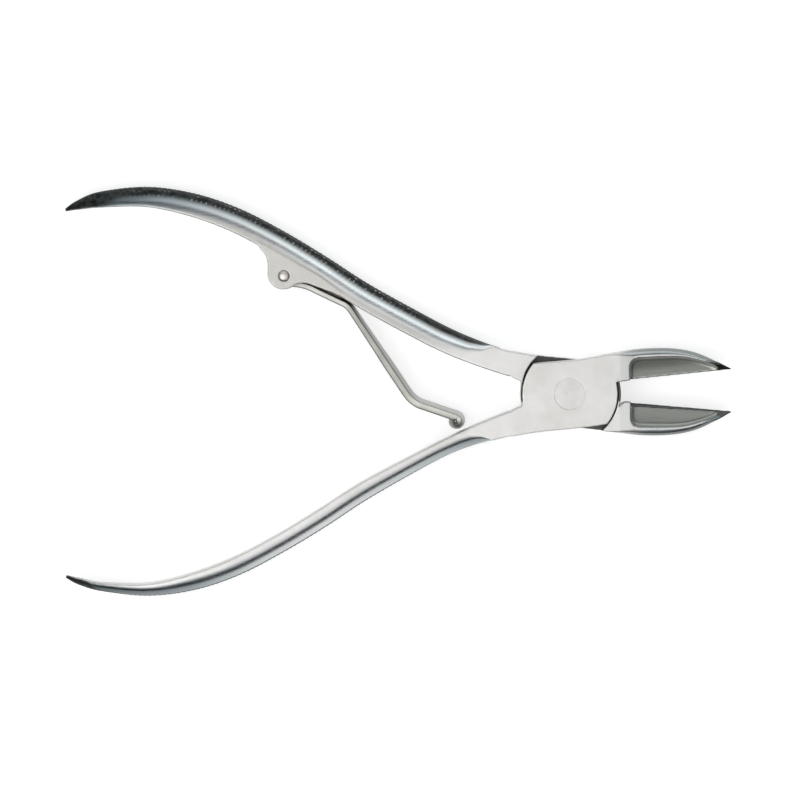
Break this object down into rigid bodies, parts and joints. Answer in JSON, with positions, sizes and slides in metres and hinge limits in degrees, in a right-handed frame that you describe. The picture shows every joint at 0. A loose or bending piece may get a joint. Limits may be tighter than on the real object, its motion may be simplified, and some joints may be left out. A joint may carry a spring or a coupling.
{
  "type": "nipper pliers",
  "caption": "Steel lap-jointed nipper pliers with bowed handles, hollow-ground jaws that meet at their tips, and a riveted leaf return spring.",
  "frame": {"origin": "on the pivot axis, at the flat underside of the joint, which the tool rests on", "axes": "+X from the handles to the jaws, +Y to the handle that carries the spring, +Z out of the front face along the pivot"},
  "size_m": [0.134, 0.0821, 0.0083],
  "materials": {
    "lever_steel": "satin faces, polished round handle backs",
    "rivet_steel": "satin",
    "spring_steel": "satin"
  },
  "bodies": {
    "front_lever": {"front_lever": "lever_steel", "pivot_rivet": "rivet_steel"},
    "rear_lever": {"rear_lever": "lever_steel", "spring_rivet": "rivet_steel", "spring_root": "spring_steel"},
    "spring_leaf": {"spring_leaf": "spring_steel"}
  },
  "joints": [
    {"name": "pivot", "type": "hinge", "parent": "front_lever", "child": "rear_lever", "pos_m": [0, 0, 0.004], "axis": [0, 0, 1], "range_deg": [0, 14.2], "stiffness_Nm_per_rad": 2},
    {"name": "spring_flex", "type": "hinge", "parent": "rear_lever", "child": "spring_leaf", "pos_m": [-0.0443, 0.01775, 0.004], "axis": [0, 0, 1], "range_deg": [0, 16]}
  ],
  "couplings": [
    {"joint": "spring_flex", "follows": "pivot", "ratio": 1.12}
  ]
}
